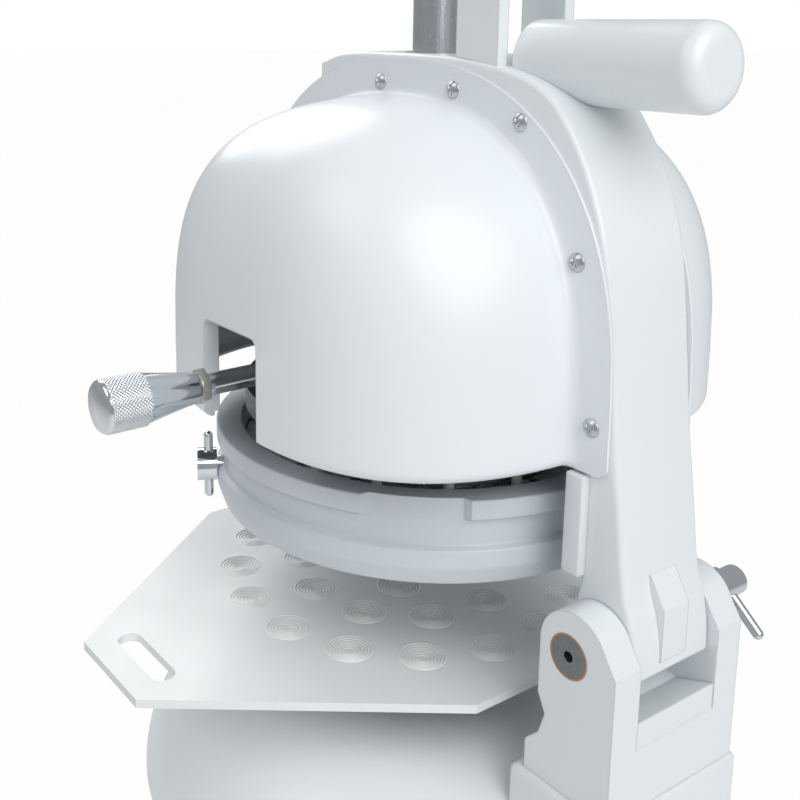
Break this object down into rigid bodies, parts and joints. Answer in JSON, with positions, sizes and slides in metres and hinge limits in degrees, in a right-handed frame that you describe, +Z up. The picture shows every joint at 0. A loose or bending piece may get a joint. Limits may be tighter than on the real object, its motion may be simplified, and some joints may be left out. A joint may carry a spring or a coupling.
{
  "type": "divider rounder",
  "caption": "Floor-standing dough divider rounder with a dimpled plate on an orbiting table and a tilting domed head holding ring, knives and press die.",
  "frame": {"origin": "on the floor under the chamber ring's axis, on the plinth's underside", "axes": "+Z up, -Y towards the operator, +Y the head's hinge, +X the side of the chrome handle"},
  "size_m": [0.604, 0.6, 1.9124],
  "materials": {
    "painted_iron": "gloss",
    "painted_steel": "gloss",
    "grey_iron": "satin",
    "steel": "satin",
    "stainless": "satin",
    "chrome": "polished",
    "zinc": "satin",
    "bronze": "satin",
    "hdpe": "satin",
    "aluminium": "satin",
    "painted_aluminium": "satin",
    "motor_blue": "satin",
    "black_plastic": "satin",
    "green_plastic": "gloss",
    "red_plastic": "gloss"
  },
  "bodies": {
    "base": {"plinth": "grey_iron", "cabinet_shell": "painted_steel", "service_panel": "painted_steel", "panel_screws": "stainless", "control_box": "painted_steel", "cable_gland": "black_plastic", "motor_plate": "steel", "gear_motor": "motor_blue", "body_casting": "painted_iron", "bearing_housing": "grey_iron", "shaft_bearings": "steel", "hinge_bracket": "painted_iron", "bracket_bolts": "steel", "hinge_bushes": "bronze", "hinge_pin": "steel"},
    "start": {"start_button": "green_plastic"},
    "stop": {"stop_button": "red_plastic"},
    "crank": {"crank_shaft": "steel"},
    "table": {"rounding_table": "aluminium"},
    "plate": {"rounding_plate": "hdpe"},
    "lock": {"lock_knob": "chrome", "lock_bar": "chrome"},
    "head": {"head_arm": "painted_iron", "front_rib": "painted_iron", "cover_near": "painted_aluminium", "cover_far": "painted_aluminium", "cover_screws": "stainless", "spindle_bush": "bronze", "guide_spider": "grey_iron", "lever_posts": "painted_iron", "lever_pin": "steel", "spring_housing": "painted_steel"},
    "ring": {"chamber_ring": "painted_aluminium", "knife_grid": "stainless", "guide_rods": "stainless"},
    "clamp_near": {"clamp_near": "chrome", "clamp_near_bar": "chrome"},
    "clamp_far": {"clamp_far": "chrome", "clamp_far_bar": "chrome"},
    "die": {"press_die": "aluminium", "press_pads": "hdpe", "press_spindle": "stainless", "spindle_pin": "steel", "handle_rod": "chrome", "grip_nut": "zinc", "handle_grip": "chrome"},
    "lever": {"press_lever": "painted_iron", "press_handle": "black_plastic"}
  },
  "joints": [
    {"name": "start_press", "type": "slide", "parent": "base", "child": "start", "axis": [0, 1, 0], "range_m": [0, 0.004], "stiffness_N_per_m": 400},
    {"name": "stop_press", "type": "slide", "parent": "base", "child": "stop", "axis": [0, 1, 0], "range_m": [0, 0.004], "stiffness_N_per_m": 400},
    {"name": "crank_spin", "type": "hinge", "parent": "base", "child": "crank", "pos_m": [0, -0.017, 0.6], "axis": [0, 0, 1], "continuous": true},
    {"name": "table_counter_turn", "type": "hinge", "parent": "crank", "child": "table", "pos_m": [0, -0.027, 0.8], "axis": [0, 0, 1], "continuous": true},
    {"name": "plate_draw_out", "type": "slide", "parent": "table", "child": "plate", "axis": [0, -1, 0], "range_m": [0, 0.15]},
    {"name": "lock_turn", "type": "hinge", "parent": "base", "child": "lock", "pos_m": [-0.095, 0.232, 0.914], "axis": [-1, 0, 0], "continuous": true},
    {"name": "head_tilt", "type": "hinge", "parent": "base", "child": "head", "pos_m": [0, 0.232, 0.914], "axis": [-1, 0, 0], "range_deg": [0, 55]},
    {"name": "ring_lower", "type": "slide", "parent": "head", "child": "ring", "axis": [0, 0, -1], "range_m": [0, 0.084]},
    {"name": "clamp_near_turn", "type": "hinge", "parent": "ring", "child": "clamp_near", "pos_m": [0.16618, -0.09211, 0.967], "axis": [0.8746, -0.4848, 0], "continuous": true},
    {"name": "clamp_far_turn", "type": "hinge", "parent": "ring", "child": "clamp_far", "pos_m": [-0.16618, -0.09211, 0.967], "axis": [-0.8746, -0.4848, 0], "continuous": true},
    {"name": "die_lower", "type": "slide", "parent": "head", "child": "die", "axis": [0, 0, -1], "range_m": [0, 0.1125]},
    {"name": "lever_pull", "type": "hinge", "parent": "head", "child": "lever", "pos_m": [0, 0.09, 1.44], "axis": [1, 0, 0], "range_deg": [0, 64]}
  ],
  "couplings": [
    {"joint": "table_counter_turn", "follows": "crank_spin", "ratio": -1},
    {"joint": "ring_lower", "follows": "lever_pull", "m_per_rad": 0.075201},
    {"joint": "die_lower", "follows": "lever_pull", "m_per_rad": 0.10063}
  ]
}
